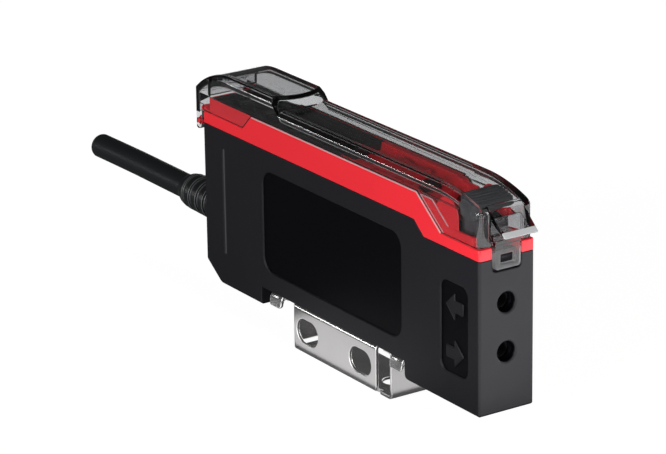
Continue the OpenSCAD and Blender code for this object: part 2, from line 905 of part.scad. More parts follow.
module tube(path, d, n) {
    k = len(path);
    rings = [
        for (p = path) each [
            for (j = [0 : n - 1])
                [p[0], d / 2 * cos(360 * (j + 0.5) / n), p[1] + d / 2 * sin(360 * (j + 0.5) / n)]
        ]
    ];
    walls = [
        for (i = [0 : k - 2]) each [
            for (j = [0 : n - 1])
                [i * n + j, i * n + (j + 1) % n, (i + 1) * n + (j + 1) % n, (i + 1) * n + j]
        ]
    ];
    cap_a = [[for (j = [n - 1 : -1 : 0]) j]];
    cap_b = [[for (j = [0 : n - 1]) (k - 1) * n + j]];
    polyhedron(points = rings, faces = concat(walls, cap_a, cap_b));
}

module cable() {
    color([0.10, 0.10, 0.11]) at_body() tube(route, cable_d, 12);
}

// folded bracket

fold_r = 0.9;
plate_x = mid_x - plate_l / 2;
side_x = mid_x - 0.3 - side_l / 2;
foot_end = side_x + side_l + 3.6;
sheet_top = rail_d;
sheet_low = -bracket_drop;
br_y = bracket_w / 2;

// section of the fold: top plate, side plate and bottom plate
module fold_section() {
    module left_round(y0, z0, h, r) {
        translate([y0 + r, z0]) square([bracket_w, h]);
        translate([y0, z0 + r]) square([r + over, h - 2 * r]);
        translate([y0 + r, z0 + r]) circle(r = r);
        translate([y0 + r, z0 + h - r]) circle(r = r);
    }
    intersection() {
        difference() {
            left_round(-br_y, sheet_low, sheet_top - sheet_low, fold_r);
            left_round(-br_y + sheet, sheet_low + sheet, sheet_top - sheet_low - 2 * sheet, fold_r - sheet);
        }
        translate([-br_y, sheet_low]) square([bracket_w, sheet_top - sheet_low]);
    }
}

// section of an ear: bent down from the plate and flared a little outwards
module ear_section() {
    bend = 1.1;
    translate([-br_y + bend, sheet_top - bend]) intersection() {
        difference() {
            circle(r = bend);
            circle(r = bend - sheet);
        }
        translate([-2 * bend, 0]) square([2 * bend, 2 * bend]);
    }
    polygon([
        [-br_y, sheet_top - bend], [-br_y + sheet, sheet_top - bend],
        [-br_y + sheet - 0.3, sheet_top - 2.2], [-br_y - 0.3, sheet_top - 2.2]
    ]);
}

module plate_ears() {
    ear_l = 3.1;
    ear_low = sheet_top - 2.2;
    for (x = [plate_x + 0.3, plate_x + plate_l - ear_l - 0.1]) {
        intersection() {
            along(x, x + ear_l) union() {
                ear_section();
                mirror([1, 0]) ear_section();
            }
            across(-bracket_w, bracket_w) translate([x, ear_low]) round_rect(ear_l, 2 * ear_l, 0.55);
        }
    }
}

// rear end wall, bent in from the side plate
corner_r = 1.2;
rear_low = sheet_low + corner_r + 0.1;
rear_top = sheet_top - fold_r;

module rear_wall() {
    upright(rear_low, rear_top) union() {
        translate([side_x + fold_r, -br_y + fold_r]) intersection() {
            difference() {
                circle(r = fold_r);
                circle(r = fold_r - sheet);
            }
            translate([-fold_r, -fold_r]) square(fold_r);
        }
        translate([side_x, -br_y + fold_r]) square([sheet, bracket_w - fold_r - 1.0]);
    }
}

module corner_cut() {
    difference() {
        translate([-over, -over]) square([corner_r + over, corner_r + over]);
        translate([corner_r, corner_r]) circle(r = corner_r);
    }
}

module bracket_parts() {
    relief = 1.4;
    mid_slot_x = side_x + side_l / 2;
    difference() {
        union() {
            along(side_x, side_x + side_l) fold_section();
            box(plate_x, plate_x + plate_l, -br_y + fold_r, br_y - 1.1, sheet_top - sheet, sheet_top);
            box(plate_x + 3.7, side_x - relief, -br_y + 0.3, br_y, sheet_top - sheet, sheet_top);
            box(side_x + side_l + relief, plate_x + plate_l - 3.7, -br_y + 0.3, br_y, sheet_top - sheet, sheet_top);
            plate_ears();
            rear_wall();
            // bottom plate runs on and turns up as the end wall
            box(side_x, foot_end - fold_r, -br_y + fold_r, br_y, sheet_low, sheet_low + sheet);
            box(side_x + side_l - over, foot_end - fold_r, -br_y + 0.35, br_y, sheet_low, sheet_low + sheet);
            box(foot_end - sheet, foot_end, -br_y + 0.35, br_y, sheet_low + fold_r, sheet_top - sheet);
            translate([foot_end - fold_r, 0, sheet_low + fold_r]) intersection() {
                difference() {
                    bar_y(0, 0, fold_r, -br_y + 0.35, br_y);
                    bar_y(0, 0, fold_r - sheet, -br_y, br_y + over);
                }
                box(0, 2, -10, 10, -2, 0);
            }
        }
        // screw slots in the side plate
        for (s = [-1, 1]) {
            across(-br_y - over, -br_y + sheet + 0.3)
                translate([mid_slot_x + s * slot_pitch / 2, -1.0]) obround(slot_l, slot_h);
        }
        // bend between the side plate and the rear end wall
        translate([side_x, -br_y, 0]) upright(sheet_low - over, sheet_top + over) difference() {
            translate([-over, -over]) square(fold_r + over);
            translate([fold_r, fold_r]) circle(r = fold_r);
        }
        // screw holes in the bottom plate
        for (x = [foot_end - 20.0, foot_end - 5.4]) {
            translate([x, 0, sheet_low - over]) cylinder(h = sheet + 2 * over, d = 3.5);
        }
        // rounded lower corners of the side plate, the rear one across the bottom plate too
        translate([side_x, 0, sheet_low]) across(-br_y - over, br_y + over) corner_cut();
        translate([side_x + side_l, 0, sheet_low]) mirror([1, 0, 0])
            across(-br_y - over, -br_y + fold_r) corner_cut();
    }
}

module bracket() {
    color([0.78, 0.78, 0.79]) at_body() bracket_parts();
}

housing();
bezel_frame();
dust_cover();
operator_panel();
display_window();
display_module();
key_board();
main_board();
board_components();
tact_switches();
slide_switches();
rocker_button();
set_button();
mode_knob();
output_knob();
indicator_pipe();
emitter_led();
receiver_diode();
fibre_block();
clamp_plate();
lever_axle();
fibre_lever();
strain_relief();
cable();
bracket();
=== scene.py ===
"""Looks of a slim fibre optic sensor amplifier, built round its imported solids.

The solids give every size and place, in metres in one shared frame. Each class
dresses one sub-assembly: it copies the solids it shows, breaks their edges the
way a mould or a press tool does, adds what is too fine for the solids, and gives
each piece its finish.
"""

from __future__ import annotations

import json
import logging
import math
from dataclasses import dataclass, field
from enum import Enum, IntEnum

import bmesh
import bpy
from mathutils import Matrix, Vector
from mathutils.bvhtree import BVHTree
from mathutils.geometry import delaunay_2d_cdt


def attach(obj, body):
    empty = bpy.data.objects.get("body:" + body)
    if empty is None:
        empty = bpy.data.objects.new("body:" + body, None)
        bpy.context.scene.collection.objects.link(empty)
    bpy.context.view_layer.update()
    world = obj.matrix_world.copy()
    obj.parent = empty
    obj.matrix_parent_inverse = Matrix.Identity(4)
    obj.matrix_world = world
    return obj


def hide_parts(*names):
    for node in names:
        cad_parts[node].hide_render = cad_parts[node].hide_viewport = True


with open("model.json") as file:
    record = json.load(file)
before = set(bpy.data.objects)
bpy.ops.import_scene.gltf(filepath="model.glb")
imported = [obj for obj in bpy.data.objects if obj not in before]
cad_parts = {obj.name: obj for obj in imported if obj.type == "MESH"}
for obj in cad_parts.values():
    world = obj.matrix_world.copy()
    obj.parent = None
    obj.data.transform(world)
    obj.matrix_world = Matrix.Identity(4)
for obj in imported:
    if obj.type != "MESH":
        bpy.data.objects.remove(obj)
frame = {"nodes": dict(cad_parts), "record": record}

LOG = logging.getLogger("amplifier")
MM = 0.001
BACK_X = -35.4
BASE_Z = 4.85

SAME_POINT = 0.002
FLAT_TURN = 0.4
BROKEN_TURN = 28.0
SNAP_SHARE = 0.45
FILL_REACH = 0.1
FILL_GRAIN = 0.00001

ALONG = Vector((1.0, 0.0, 0.0))
ACROSS = Vector((0.0, 1.0, 0.0))
UPWARD = Vector((0.0, 0.0, 1.0))

RGB = tuple[float, float, float]
Ring = list[bmesh.types.BMVert]
Blank = tuple[bpy.types.Material, bpy.types.NodeTree, bpy.types.Node, bpy.types.Node]


def at(x: float, y: float, z: float) -> Vector:
    """Point of the frame, in metres, from the housing's own millimetres.

    Args:
        x: Distance from the back face of the housing.
        y: Distance from the middle plane.
        z: Height above the housing bottom.

    Returns:
        The point in metres.
    """
    return Vector(((x + BACK_X) * MM, y * MM, (z + BASE_Z) * MM))


class Effect(Enum):
    """Surface effects that several finishes share."""

    GRAIN = "moulded_grain"
    FILM = "handling_film"
    ROLLED = "rolled_sheet"


class EffectGroup:
    """Builds one shader node group, socket by socket and node by node."""

    def __init__(self, effect: Effect) -> None:
        """Starts an empty group named after its effect.

        Args:
            effect: The effect that the group makes.
        """
        self.tree = bpy.data.node_groups.new(effect.value, "ShaderNodeTree")
        self.source = self.tree.nodes.new("NodeGroupInput")
        self.sink = self.tree.nodes.new("NodeGroupOutput")

    def takes(self, name: str, kind: str, default: object = None) -> None:
        """Adds an input socket.

        Args:
            name: Name of the socket.
            kind: Blender's socket type.
            default: Value where nothing is linked.
        """
        made = self.tree.interface.new_socket(name=name, in_out="INPUT", socket_type=kind)
        if default is not None:
            made.default_value = default

    def gives(self, name: str, kind: str) -> None:
        """Adds an output socket."""
        self.tree.interface.new_socket(name=name, in_out="OUTPUT", socket_type=kind)

    def node(self, kind: str, **settings: object) -> bpy.types.Node:
        """Adds a node and sets its properties.

        Args:
            kind: Blender's node type.
            settings: Properties of the node.

        Returns:
            The new node.
        """
        made = self.tree.nodes.new(kind)
        for key, value in settings.items():
            setattr(made, key, value)
        return made

    def link(self, out: bpy.types.NodeSocket, into: bpy.types.NodeSocket) -> None:
        """Joins two sockets."""
        self.tree.links.new(out, into)

    def math(self, operation: str, a: object, b: object) -> bpy.types.NodeSocket:
        """Adds a Math node.

        Args:
            operation: Name of the operation.
            a: First socket or number.
            b: Second socket or number.

        Returns:
            The result's socket.
        """
        made = self.node("ShaderNodeMath", operation=operation)
        for socket, value in zip(made.inputs, (a, b)):
            if isinstance(value, bpy.types.NodeSocket):
                self.link(value, socket)
            else:
                socket.default_value = value
        return made.outputs[0]

    def noise(self, place: bpy.types.NodeSocket, scale: object, detail: float) -> bpy.types.NodeSocket:
        """Adds a noise pattern.

        Args:
            place: Socket of the point to sample.
            scale: Socket or number of cells per metre.
            detail: Octaves of finer noise.

        Returns:
            The noise value's socket.
        """
        made = self.node("ShaderNodeTexNoise")
        made.inputs["Detail"].default_value = detail
        self.link(place, made.inputs["Vector"])
        if isinstance(scale, bpy.types.NodeSocket):
            self.link(scale, made.inputs["Scale"])
        else:
            made.inputs["Scale"].default_value = scale
        return made.outputs["Fac"]


class EffectLibrary:
    """Keeps each shared effect, built once. Patterns are given in cells per metre."""

    cloud_cells: float = 140.0
    smear_cells: float = 90.0
    speck_cells: float = 2600.0
    smear_range: tuple[float, float] = (0.45, 0.75)
    sheet_cells: float = 260.0
    line_cells: RGB = (120.0, 6000.0, 6000.0)

    def __init__(self) -> None:
        """Builds the groups."""
        self.trees: dict[Effect, bpy.types.NodeTree] = {
            Effect.GRAIN: self._grain(),
            Effect.FILM: self._film(),
            Effect.ROLLED: self._rolled(),
        }

    def place(self, tree: bpy.types.NodeTree, effect: Effect, **values: object) -> bpy.types.Node:
        """Puts an effect into a material.

        Args:
            tree: Node tree of the material.
            effect: The effect to place.
            values: Input values by socket name.

        Returns:
            The group node, sampled in the piece's own coordinates.
        """
        made = tree.nodes.new("ShaderNodeGroup")
        made.node_tree = self.trees[effect]
        where = tree.nodes.new("ShaderNodeTexCoord")
        tree.links.new(where.outputs["Object"], made.inputs["Place"])
        for name, value in values.items():
            made.inputs[name].default_value = value
        return made

    def _grain(self) -> bpy.types.NodeTree:
        """Grain of a spark-eroded or blasted mould, with slow changes of tone and gloss.

        Returns:
            The group's node tree.
        """
        group = EffectGroup(Effect.GRAIN)
        group.takes("Place", "NodeSocketVector")
        group.takes("Colour", "NodeSocketColor", (0.5, 0.5, 0.5, 1.0))
        group.takes("Cells", "NodeSocketFloat", 9000.0)
        group.takes("Tone", "NodeSocketFloat", 0.1)
        group.takes("Roughness", "NodeSocketFloat", 0.5)
        group.takes("Spread", "NodeSocketFloat", 0.1)
        group.gives("Colour", "NodeSocketColor")
        group.gives("Roughness", "NodeSocketFloat")
        group.gives("Height", "NodeSocketFloat")
        inputs = group.source.outputs
        fine = group.noise(inputs["Place"], inputs["Cells"], 2.0)
        broad = group.noise(inputs["Place"], self.cloud_cells, 3.0)
        blend = group.math("MULTIPLY", group.math("ADD", fine, broad), 0.5)
        shift = group.math("MULTIPLY", group.math("SUBTRACT", blend, 0.5), inputs["Tone"])
        tint = group.node("ShaderNodeHueSaturation")
        group.link(group.math("ADD", group.math("MULTIPLY", shift, 2.0), 1.0), tint.inputs["Value"])
        group.link(inputs["Colour"], tint.inputs["Color"])
        group.link(tint.outputs["Color"], group.sink.inputs["Colour"])
        sway = group.math("MULTIPLY", group.math("SUBTRACT", broad, 0.5), inputs["Spread"])
        group.link(group.math("ADD", sway, inputs["Roughness"]), group.sink.inputs["Roughness"])
        group.link(fine, group.sink.inputs["Height"])
        return group.tree

    def _film(self) -> bpy.types.NodeTree:
        """Faint smears and specks on a polished face, and a frosted corner where it has one.

        Returns:
            The group's node tree.
        """
        group = EffectGroup(Effect.FILM)
        group.takes("Place", "NodeSocketVector")
        group.takes("Roughness", "NodeSocketFloat", 0.05)
        group.takes("Spread", "NodeSocketFloat", 0.05)
        group.takes("Frost", "NodeSocketFloat", 0.0)
        group.takes("Frost Past", "NodeSocketFloat", 1.0)
        group.takes("Frost Below", "NodeSocketFloat", -1.0)
        group.gives("Roughness", "NodeSocketFloat")
        group.gives("Height", "NodeSocketFloat")
        inputs = group.source.outputs
        split = group.node("ShaderNodeSeparateXYZ")
        group.link(inputs["Place"], split.inputs[0])
        past = group.math("GREATER_THAN", split.outputs["X"], inputs["Frost Past"])
        below = group.math("LESS_THAN", split.outputs["Z"], inputs["Frost Below"])
        frost = group.math("MULTIPLY", group.math("MULTIPLY", past, below), inputs["Frost"])
        smear = group.noise(inputs["Place"], self.smear_cells, 4.0)
        speck = group.noise(inputs["Place"], self.speck_cells, 1.0)
        mask = group.node("ShaderNodeMapRange")
        mask.inputs["From Min"].default_value, mask.inputs["From Max"].default_value = self.smear_range
        group.link(smear, mask.inputs["Value"])
        haze = group.math("MULTIPLY", mask.outputs["Result"], inputs["Spread"])
        gloss = group.math("ADD", haze, inputs["Roughness"])
        group.link(group.math("ADD", gloss, frost), group.sink.inputs["Roughness"])
        group.link(group.math("MULTIPLY", group.math("ADD", smear, speck), 0.5), group.sink.inputs["Height"])
        return group.tree

    def _rolled(self) -> bpy.types.NodeTree:
        """Lines of a rolled sheet under a bright plating.

        Returns:
            The group's node tree.
        """
        group = EffectGroup(Effect.ROLLED)
        group.takes("Place", "NodeSocketVector")
        group.takes("Colour", "NodeSocketColor", (0.7, 0.7, 0.7, 1.0))
        group.takes("Tone", "NodeSocketFloat", 0.1)
        group.takes("Roughness", "NodeSocketFloat", 0.2)
        group.takes("Spread", "NodeSocketFloat", 0.1)
        group.gives("Colour", "NodeSocketColor")
        group.gives("Roughness", "NodeSocketFloat")
        group.gives("Height", "NodeSocketFloat")
        inputs = group.source.outputs
        stretch = group.node("ShaderNodeVectorMath", operation="MULTIPLY")
        stretch.inputs[1].default_value = self.line_cells
        group.link(inputs["Place"], stretch.inputs[0])
        lines = group.noise(stretch.outputs["Vector"], 1.0, 2.0)
        cloud = group.noise(inputs["Place"], self.sheet_cells, 3.0)
        shift = group.math("MULTIPLY", group.math("SUBTRACT", cloud, 0.5), inputs["Tone"])
        tint = group.node("ShaderNodeHueSaturation")
        group.link(group.math("ADD", shift, 1.0), tint.inputs["Value"])
        group.link(inputs["Colour"], tint.inputs["Color"])
        group.link(tint.outputs["Color"], group.sink.inputs["Colour"])
        both = group.math("MULTIPLY", group.math("ADD", lines, cloud), 0.5)
        sway = group.math("MULTIPLY", group.math("SUBTRACT", both, 0.5), inputs["Spread"])
        group.link(group.math("ADD", sway, inputs["Roughness"]), group.sink.inputs["Roughness"])
        group.link(lines, group.sink.inputs["Height"])
        return group.tree


EFFECTS = EffectLibrary()


def blank_material(name: str) -> Blank:
    """Starts a node material.

    Args:
        name: Name of the finish.

    Returns:
        The material, its node tree, its Principled shader and its output.
    """
    made = bpy.data.materials.new(name)
    made.use_nodes = True
    tree = made.node_tree
    tree.nodes.clear()
    shader = tree.nodes.new("ShaderNodeBsdfPrincipled")
    output = tree.nodes.new("ShaderNodeOutputMaterial")
    tree.links.new(shader.outputs["BSDF"], output.inputs["Surface"])
    return made, tree, shader, output


def raise_bump(
    tree: bpy.types.NodeTree, height: bpy.types.NodeSocket, depth: float, shader: bpy.types.Node
) -> None:
    """Lets a height pattern tilt the surface.

    Args:
        tree: Node tree of the material.
        height: Socket of the pattern, from 0 to 1.
        depth: Depth of the pattern in metres.
        shader: Shader whose normal it sets.
    """
    bump = tree.nodes.new("ShaderNodeBump")
    bump.inputs["Distance"].default_value = depth
    tree.links.new(height, bump.inputs["Height"])
    tree.links.new(bump.outputs["Normal"], shader.inputs["Normal"])


@dataclass(frozen=True)
class MouldedFinish:
    """Moulded plastic or rubber with a grained surface."""

    name: str
    colour: RGB
    roughness: float
    specular: float = 0.5
    cells: float = 9000.0
    depth: float = 0.000006
    tone: float = 0.12
    spread: float = 0.12

    def material(self) -> bpy.types.Material:
        """Makes the node material of this finish.

        Returns:
            The material.
        """
        made, tree, shader, _ = blank_material(self.name)
        grain = EFFECTS.place(
            tree,
            Effect.GRAIN,
            Colour=(*self.colour, 1.0),
            Cells=self.cells,
            Tone=self.tone,
            Roughness=self.roughness,
            Spread=self.spread,
        )
        tree.links.new(grain.outputs["Colour"], shader.inputs["Base Color"])
        tree.links.new(grain.outputs["Roughness"], shader.inputs["Roughness"])
        shader.inputs["Specular IOR Level"].default_value = self.specular
        raise_bump(tree, grain.outputs["Height"], self.depth, shader)
        return made


@dataclass(frozen=True)
class ClearFinish:
    """Tinted clear plastic that lets light through to what lies under it."""

    name: str
    colour: RGB
    shade: RGB
    ior: float = 1.5
    roughness: float = 0.02
    spread: float = 0.03
    depth: float = 0.000001
    smoke: RGB = (0.5, 0.5, 0.5)
    density: float = 0.0
    frost: float = 0.0
    frost_past: float = 1.0
    frost_below: float = -1.0

    def material(self) -> bpy.types.Material:
        """Makes the node material of this finish.

        Returns:
            The material.
        """
        made, tree, shader, output = blank_material(self.name)
        film = EFFECTS.place(
            tree, Effect.FILM, Roughness=self.roughness, Spread=self.spread, Frost=self.frost
        )
        film.inputs["Frost Past"].default_value = self.frost_past
        film.inputs["Frost Below"].default_value = self.frost_below
        shader.inputs["Base Color"].default_value = (*self.colour, 1.0)
        shader.inputs["IOR"].default_value = self.ior
        shader.inputs["Transmission Weight"].default_value = 1.0
        tree.links.new(film.outputs["Roughness"], shader.inputs["Roughness"])
        raise_bump(tree, film.outputs["Height"], self.depth, shader)
        path = tree.nodes.new("ShaderNodeLightPath")
        through = tree.nodes.new("ShaderNodeBsdfTransparent")
        through.inputs["Color"].default_value = (*self.shade, 1.0)
        mix = tree.nodes.new("ShaderNodeMixShader")
        tree.links.new(path.outputs["Is Shadow Ray"], mix.inputs["Fac"])
        tree.links.new(shader.outputs["BSDF"], mix.inputs[1])
        tree.links.new(through.outputs["BSDF"], mix.inputs[2])
        tree.links.new(mix.outputs["Shader"], output.inputs["Surface"])
        if self.density:
            tint = tree.nodes.new("ShaderNodeVolumeAbsorption")
            tint.inputs["Color"].default_value = (*self.smoke, 1.0)
            tint.inputs["Density"].default_value = self.density
            tree.links.new(tint.outputs["Volume"], output.inputs["Volume"])
        return made


@dataclass(frozen=True)
class PlatedFinish:
    """Bright plated or bare sheet metal."""

    name: str
    colour: RGB
    roughness: float
    tone: float = 0.12
    spread: float = 0.14
    depth: float = 0.000002

    def material(self) -> bpy.types.Material:
        """Makes the node material of this finish.

        Returns:
            The material.
        """
        made, tree, shader, _ = blank_material(self.name)
        sheet = EFFECTS.place(
            tree,
            Effect.ROLLED,
            Colour=(*self.colour, 1.0),
            Tone=self.tone,
            Roughness=self.roughness,
            Spread=self.spread,
        )
        tree.links.new(sheet.outputs["Colour"], shader.inputs["Base Color"])
        tree.links.new(sheet.outputs["Roughness"], shader.inputs["Roughness"])
        shader.inputs["Metallic"].default_value = 1.0
        raise_bump(tree, sheet.outputs["Height"], self.depth, shader)
        return made


Finish = MouldedFinish | ClearFinish | PlatedFinish

HOUSING_BLACK = MouldedFinish("housing_black", (0.0024, 0.0024, 0.0050), 0.58, specular=0.36, depth=0.00001)
# Lighter grey on the groove's faces: a painted highlight where its wall catches the light.
GROOVE_PAINTED_HIGHLIGHT = MouldedFinish("groove_painted_highlight", (0.045, 0.045, 0.050), 0.5, depth=0.000003)
# Smoother black for the sunk side panels; inside the fibre ports the same darker black is painted shade.
SUNK_PANEL_AND_PORT_SHADE = MouldedFinish("sunk_panel_and_port_shade", (0.0016, 0.0016, 0.0026), 0.38, specular=0.06, depth=0.000003)
FRAME_RED = MouldedFinish("frame_red", (0.80, 0.022, 0.034), 0.38, specular=0.35, depth=0.000003, tone=0.05)
# Pale colour on the red frame's upper broken edge under the cover: a painted highlight.
PAINTED_EDGE_HIGHLIGHT = MouldedFinish("painted_edge_highlight", (0.60, 0.38, 0.39), 0.3, depth=0.000001)
# Opaque pale grey on top of the cover's finger lip: a painted highlight where the lip's end shows bright.
LIP_PAINTED_HIGHLIGHT = MouldedFinish("lip_painted_highlight", (0.46, 0.465, 0.47), 0.45, depth=0.000002)
KEY_RED = MouldedFinish("key_red", (0.60, 0.02, 0.03), 0.42, specular=0.35, depth=0.000003)
PANEL_BLACK = MouldedFinish("panel_black", (0.012, 0.012, 0.013), 0.45, specular=0.3, depth=0.000004)
KEY_DARK = MouldedFinish("key_dark", (0.018, 0.019, 0.018), 0.45, specular=0.3)
LEVER_BLACK = MouldedFinish("lever_black", (0.080, 0.083, 0.088), 0.4, specular=0.4)
SWITCH_GREY = MouldedFinish("switch_grey", (0.35, 0.35, 0.34), 0.5)
BOARD_GREEN = MouldedFinish("board_green", (0.02, 0.14, 0.06), 0.35, cells=1800.0, tone=0.3)
CHIP_BLACK = MouldedFinish("chip_black", (0.02, 0.02, 0.02), 0.6, cells=14000.0)
DIGIT_GREY = MouldedFinish("digit_grey", (0.16, 0.15, 0.14), 0.5)
DIGIT_PALE = MouldedFinish("digit_pale", (0.42, 0.36, 0.33), 0.35)
JACKET_BLACK = MouldedFinish(
    "jacket_black", (0.008, 0.0095, 0.0105), 0.46, specular=0.28, cells=5200.0, depth=0.000012
)
# Lighter grey on the boot's broken rib edges: a painted highlight.
BOOT_RIM_HIGHLIGHT = MouldedFinish("boot_rim_highlight", (0.075, 0.078, 0.082), 0.35, depth=0.000003)
BOOT_BLACK = MouldedFinish("boot_black", (0.006, 0.0065, 0.0072), 0.38, specular=0.45, cells=6000.0)
SMOKY_CLEAR = ClearFinish(
    "smoky_clear",
    (0.97, 0.97, 0.97),
    (0.80, 0.80, 0.80),
    smoke=(0.30, 0.315, 0.34),
    density=400.0,
    frost=0.3,
    frost_past=at(70.2, 0.0, 0.0).x,
    frost_below=at(0.0, 0.0, 24.3).z,
)
WINDOW_TINT = ClearFinish("window_tint", (0.34, 0.10, 0.11), (0.25, 0.06, 0.07))
LAMP_AMBER = ClearFinish("lamp_amber", (0.9, 0.55, 0.16), (0.8, 0.5, 0.2), roughness=0.2)
LENS_RED = MouldedFinish("lens_red", (0.55, 0.06, 0.05), 0.15, depth=0.000001)
LENS_DARK = MouldedFinish("lens_dark", (0.03, 0.015, 0.04), 0.15, depth=0.000001)
PLATE_NICKEL = PlatedFinish("plate_nickel", (0.78, 0.765, 0.765), 0.24)
# Brighter plating on the bracket's broken edges: a painted highlight.
PLATE_RIM_HIGHLIGHT = PlatedFinish("plate_rim_highlight", (0.92, 0.91, 0.91), 0.5)
PIN_STEEL = PlatedFinish("pin_steel", (0.58, 0.58, 0.59), 0.28)


class FinishShelf:
    """Makes each finish's material once."""

    def __init__(self) -> None:
        """Starts with nothing made."""
        self.made: dict[str, bpy.types.Material] = {}

    def get(self, finish: Finish) -> bpy.types.Material:
        """Gives the material of a finish.

        Args:
            finish: The finish.

        Returns:
            Its material, made at first use.
        """
        if finish.name not in self.made:
            self.made[finish.name] = finish.material()
        return self.made[finish.name]


SHELF = FinishShelf()
BODY_OF = {node: body for body, nodes in frame["record"]["behaviour"]["bodies"].items() for node in nodes}


def new_piece(name: str, mesh: bpy.types.Mesh, finish: Finish, body: str) -> bpy.types.Object:
    """Makes a mesh a piece of the object.

    Args:
        name: Name of the piece.
        mesh: Its mesh, in the frame's metres.
        finish: Its first finish.
        body: The body it rides on.

    Returns:
        The piece.
    """
    piece = bpy.data.objects.new(name, mesh)
    bpy.context.scene.collection.objects.link(piece)
    mesh.materials.append(SHELF.get(finish))
    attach(piece, body)
    LOG.info("piece %s rides on %s", name, body)
    return piece


def break_edges(form: bmesh.types.BMesh, edge: float, angle: float, rim: int) -> None:
    """Breaks the sharp edges of a form, and keeps every point at the solid's surface and in its box.

    Args:
        form: The form, with flat faces joined.
        edge: Width of a broken edge in millimetres.
        angle: Edges that turn more than this, in degrees, are broken.
        rim: Material index of the broken edges.
    """
    surface = BVHTree.FromBMesh(form)
    low = [min(v.co[axis] for v in form.verts) for axis in range(3)]
    high = [max(v.co[axis] for v in form.verts) for axis in range(3)]
    limit = math.radians(angle)
    sharp = [e for e in form.edges if len(e.link_faces) == 2 and e.calc_face_angle(0.0) > limit]
    made = bmesh.ops.bevel(
        form,
        geom=sharp,
        offset=edge * MM,
        offset_type="OFFSET",
        segments=2,
        profile=0.5,
        affect="EDGES",
        clamp_overlap=False,
        miter_outer="ARC",
    )
    for face in made["faces"]:
        face.material_index = rim
    for point in form.verts:
        near, _, _, gap = surface.find_nearest(point.co)
        if gap > SNAP_SHARE * edge * MM:
            point.co = near
        point.co = [min(max(point.co[axis], low[axis]), high[axis]) for axis in range(3)]
    mend_faces(form, surface, FILL_REACH)


def mend_faces(form: bmesh.types.BMesh, surface: BVHTree, reach: float) -> None:
    """Fills again the flat faces whose outline crosses itself after the edges were broken.

    Args:
        form: The form with broken edges.
        surface: Surface of the form before its edges were broken.
        reach: A filled triangle lies within this many millimetres of that surface.
    """

    def strays(corners: list[Vector]) -> bool:
        """Tells whether a triangle leaves the surface.

        Args:
            corners: Its three corners.

        Returns:
            True where its middle or the middle of a side lies too far away.
        """
        a, b, c = corners
        spots = ((a + b + c) / 3, (a + b) / 2, (b + c) / 2, (c + a) / 2)
        return any(surface.find_nearest(spot)[3] > reach * MM for spot in spots)

    form.normal_update()
    triangles = form.calc_loop_triangles()
    torn = dict.fromkeys(t[0].face for t in triangles if strays([loop.vert.co for loop in t]))
    for face in [f for f in torn if len(f.verts) > 3]:
        turn = face.normal.rotation_difference(UPWARD)
        back = turn.inverted()
        bound = list(face.verts)
        laid = [turn @ v.co / MM for v in bound]
        level = sum(p.z for p in laid) / len(laid)
        outline = [p.to_2d() for p in laid]
        order = list(range(len(bound)))
        spots, _, fills, roots, _, _ = delaunay_2d_cdt(outline, [], [order], 1, FILL_GRAIN)
        points = [
            bound[root[0]] if root else form.verts.new(back @ Vector((spot.x, spot.y, level)) * MM)
            for spot, root in zip(spots, roots)
        ]
        index = face.material_index
        bmesh.ops.delete(form, geom=[face], context="FACES_ONLY")
        for fill in fills:
            corners = [points[i] for i in fill]
            whole = len(set(corners)) == 3 and not strays([v.co for v in corners])
            if whole and form.faces.get(corners) is None:
                form.faces.new(corners).material_index = index


def solid_copy(
    node: str, finish: Finish, edge: float, angle: float = BROKEN_TURN, rim: Finish | None = None
) -> bpy.types.Object:
    """Copies a solid as a dressed piece that stands for it.

    Args:
        node: Name of the solid.
        finish: Finish of the piece.
        edge: Width of its broken edges in millimetres.
        angle: Edges that turn more than this, in degrees, are broken.
        rim: Finish of the broken edges, where they have their own.

    Returns:
        The new piece, which replaces the solid.
    """
    source = frame["nodes"][node]
    work = bmesh.new()
    work.from_mesh(source.data)
    work.transform(source.matrix_world)
    bmesh.ops.remove_doubles(work, verts=work.verts, dist=SAME_POINT * MM)
    flat = math.radians(FLAT_TURN)
    bmesh.ops.dissolve_limit(work, angle_limit=flat, verts=work.verts, edges=work.edges)
    plain = bpy.data.meshes.new(node + "_form")
    bare = bmesh.new()
    points = [bare.verts.new(v.co) for v in work.verts]
    for face in work.faces:
        bare.faces.new([points[v.index] for v in face.verts])
    work.free()
    bare.normal_update()
    break_edges(bare, edge, angle, 1 if rim else 0)
    for face in bare.faces:
        face.smooth = True
    bare.to_mesh(plain)
    bare.free()
    piece = new_piece(node + "_skin", plain, finish, BODY_OF[node])
    if rim:
        plain.materials.append(SHELF.get(rim))
    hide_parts(node)
    even = piece.modifiers.new("even_normals", "WEIGHTED_NORMAL")
    even.keep_sharp = False
    return piece


def dress_solid(node: str, finish: Finish) -> None:
    """Gives a solid that stays as it is its finish.

    Args:
        node: Name of the solid.
        finish: Its finish.
    """
    solid = frame["nodes"][node]
    material = SHELF.get(finish)
    if not solid.data.materials:
        solid.data.materials.append(material)
    for place in solid.material_slots:
        place.material = material
    LOG.info("solid %s keeps its shape", node)


def ring(work: bmesh.types.BMesh, centre: Vector, radius: float, count: int) -> Ring:
    """Adds a circle of points that stands across the housing.

    Args:
        work: Mesh that takes the points.
        centre: Middle of the circle.
        radius: Radius in metres.
        count: Number of points.

    Returns:
        The points in order.
    """
    turns = [2 * math.pi * i / count for i in range(count)]
    spokes = [ACROSS * (radius * math.cos(a)) + UPWARD * (radius * math.sin(a)) for a in turns]
    return [work.verts.new(centre + spoke) for spoke in spokes]


def bridge(work: bmesh.types.BMesh, first: Ring, second: Ring) -> None:
    """Joins two closed outlines of points with faces.

    Args:
        work: Mesh that takes the faces.
        first: Points of one outline.
        second: As many points of the other.
    """
    for i in range(len(first)):
        j = (i + 1) % len(first)
        work.faces.new((first[i], first[j], second[j], second[i]))


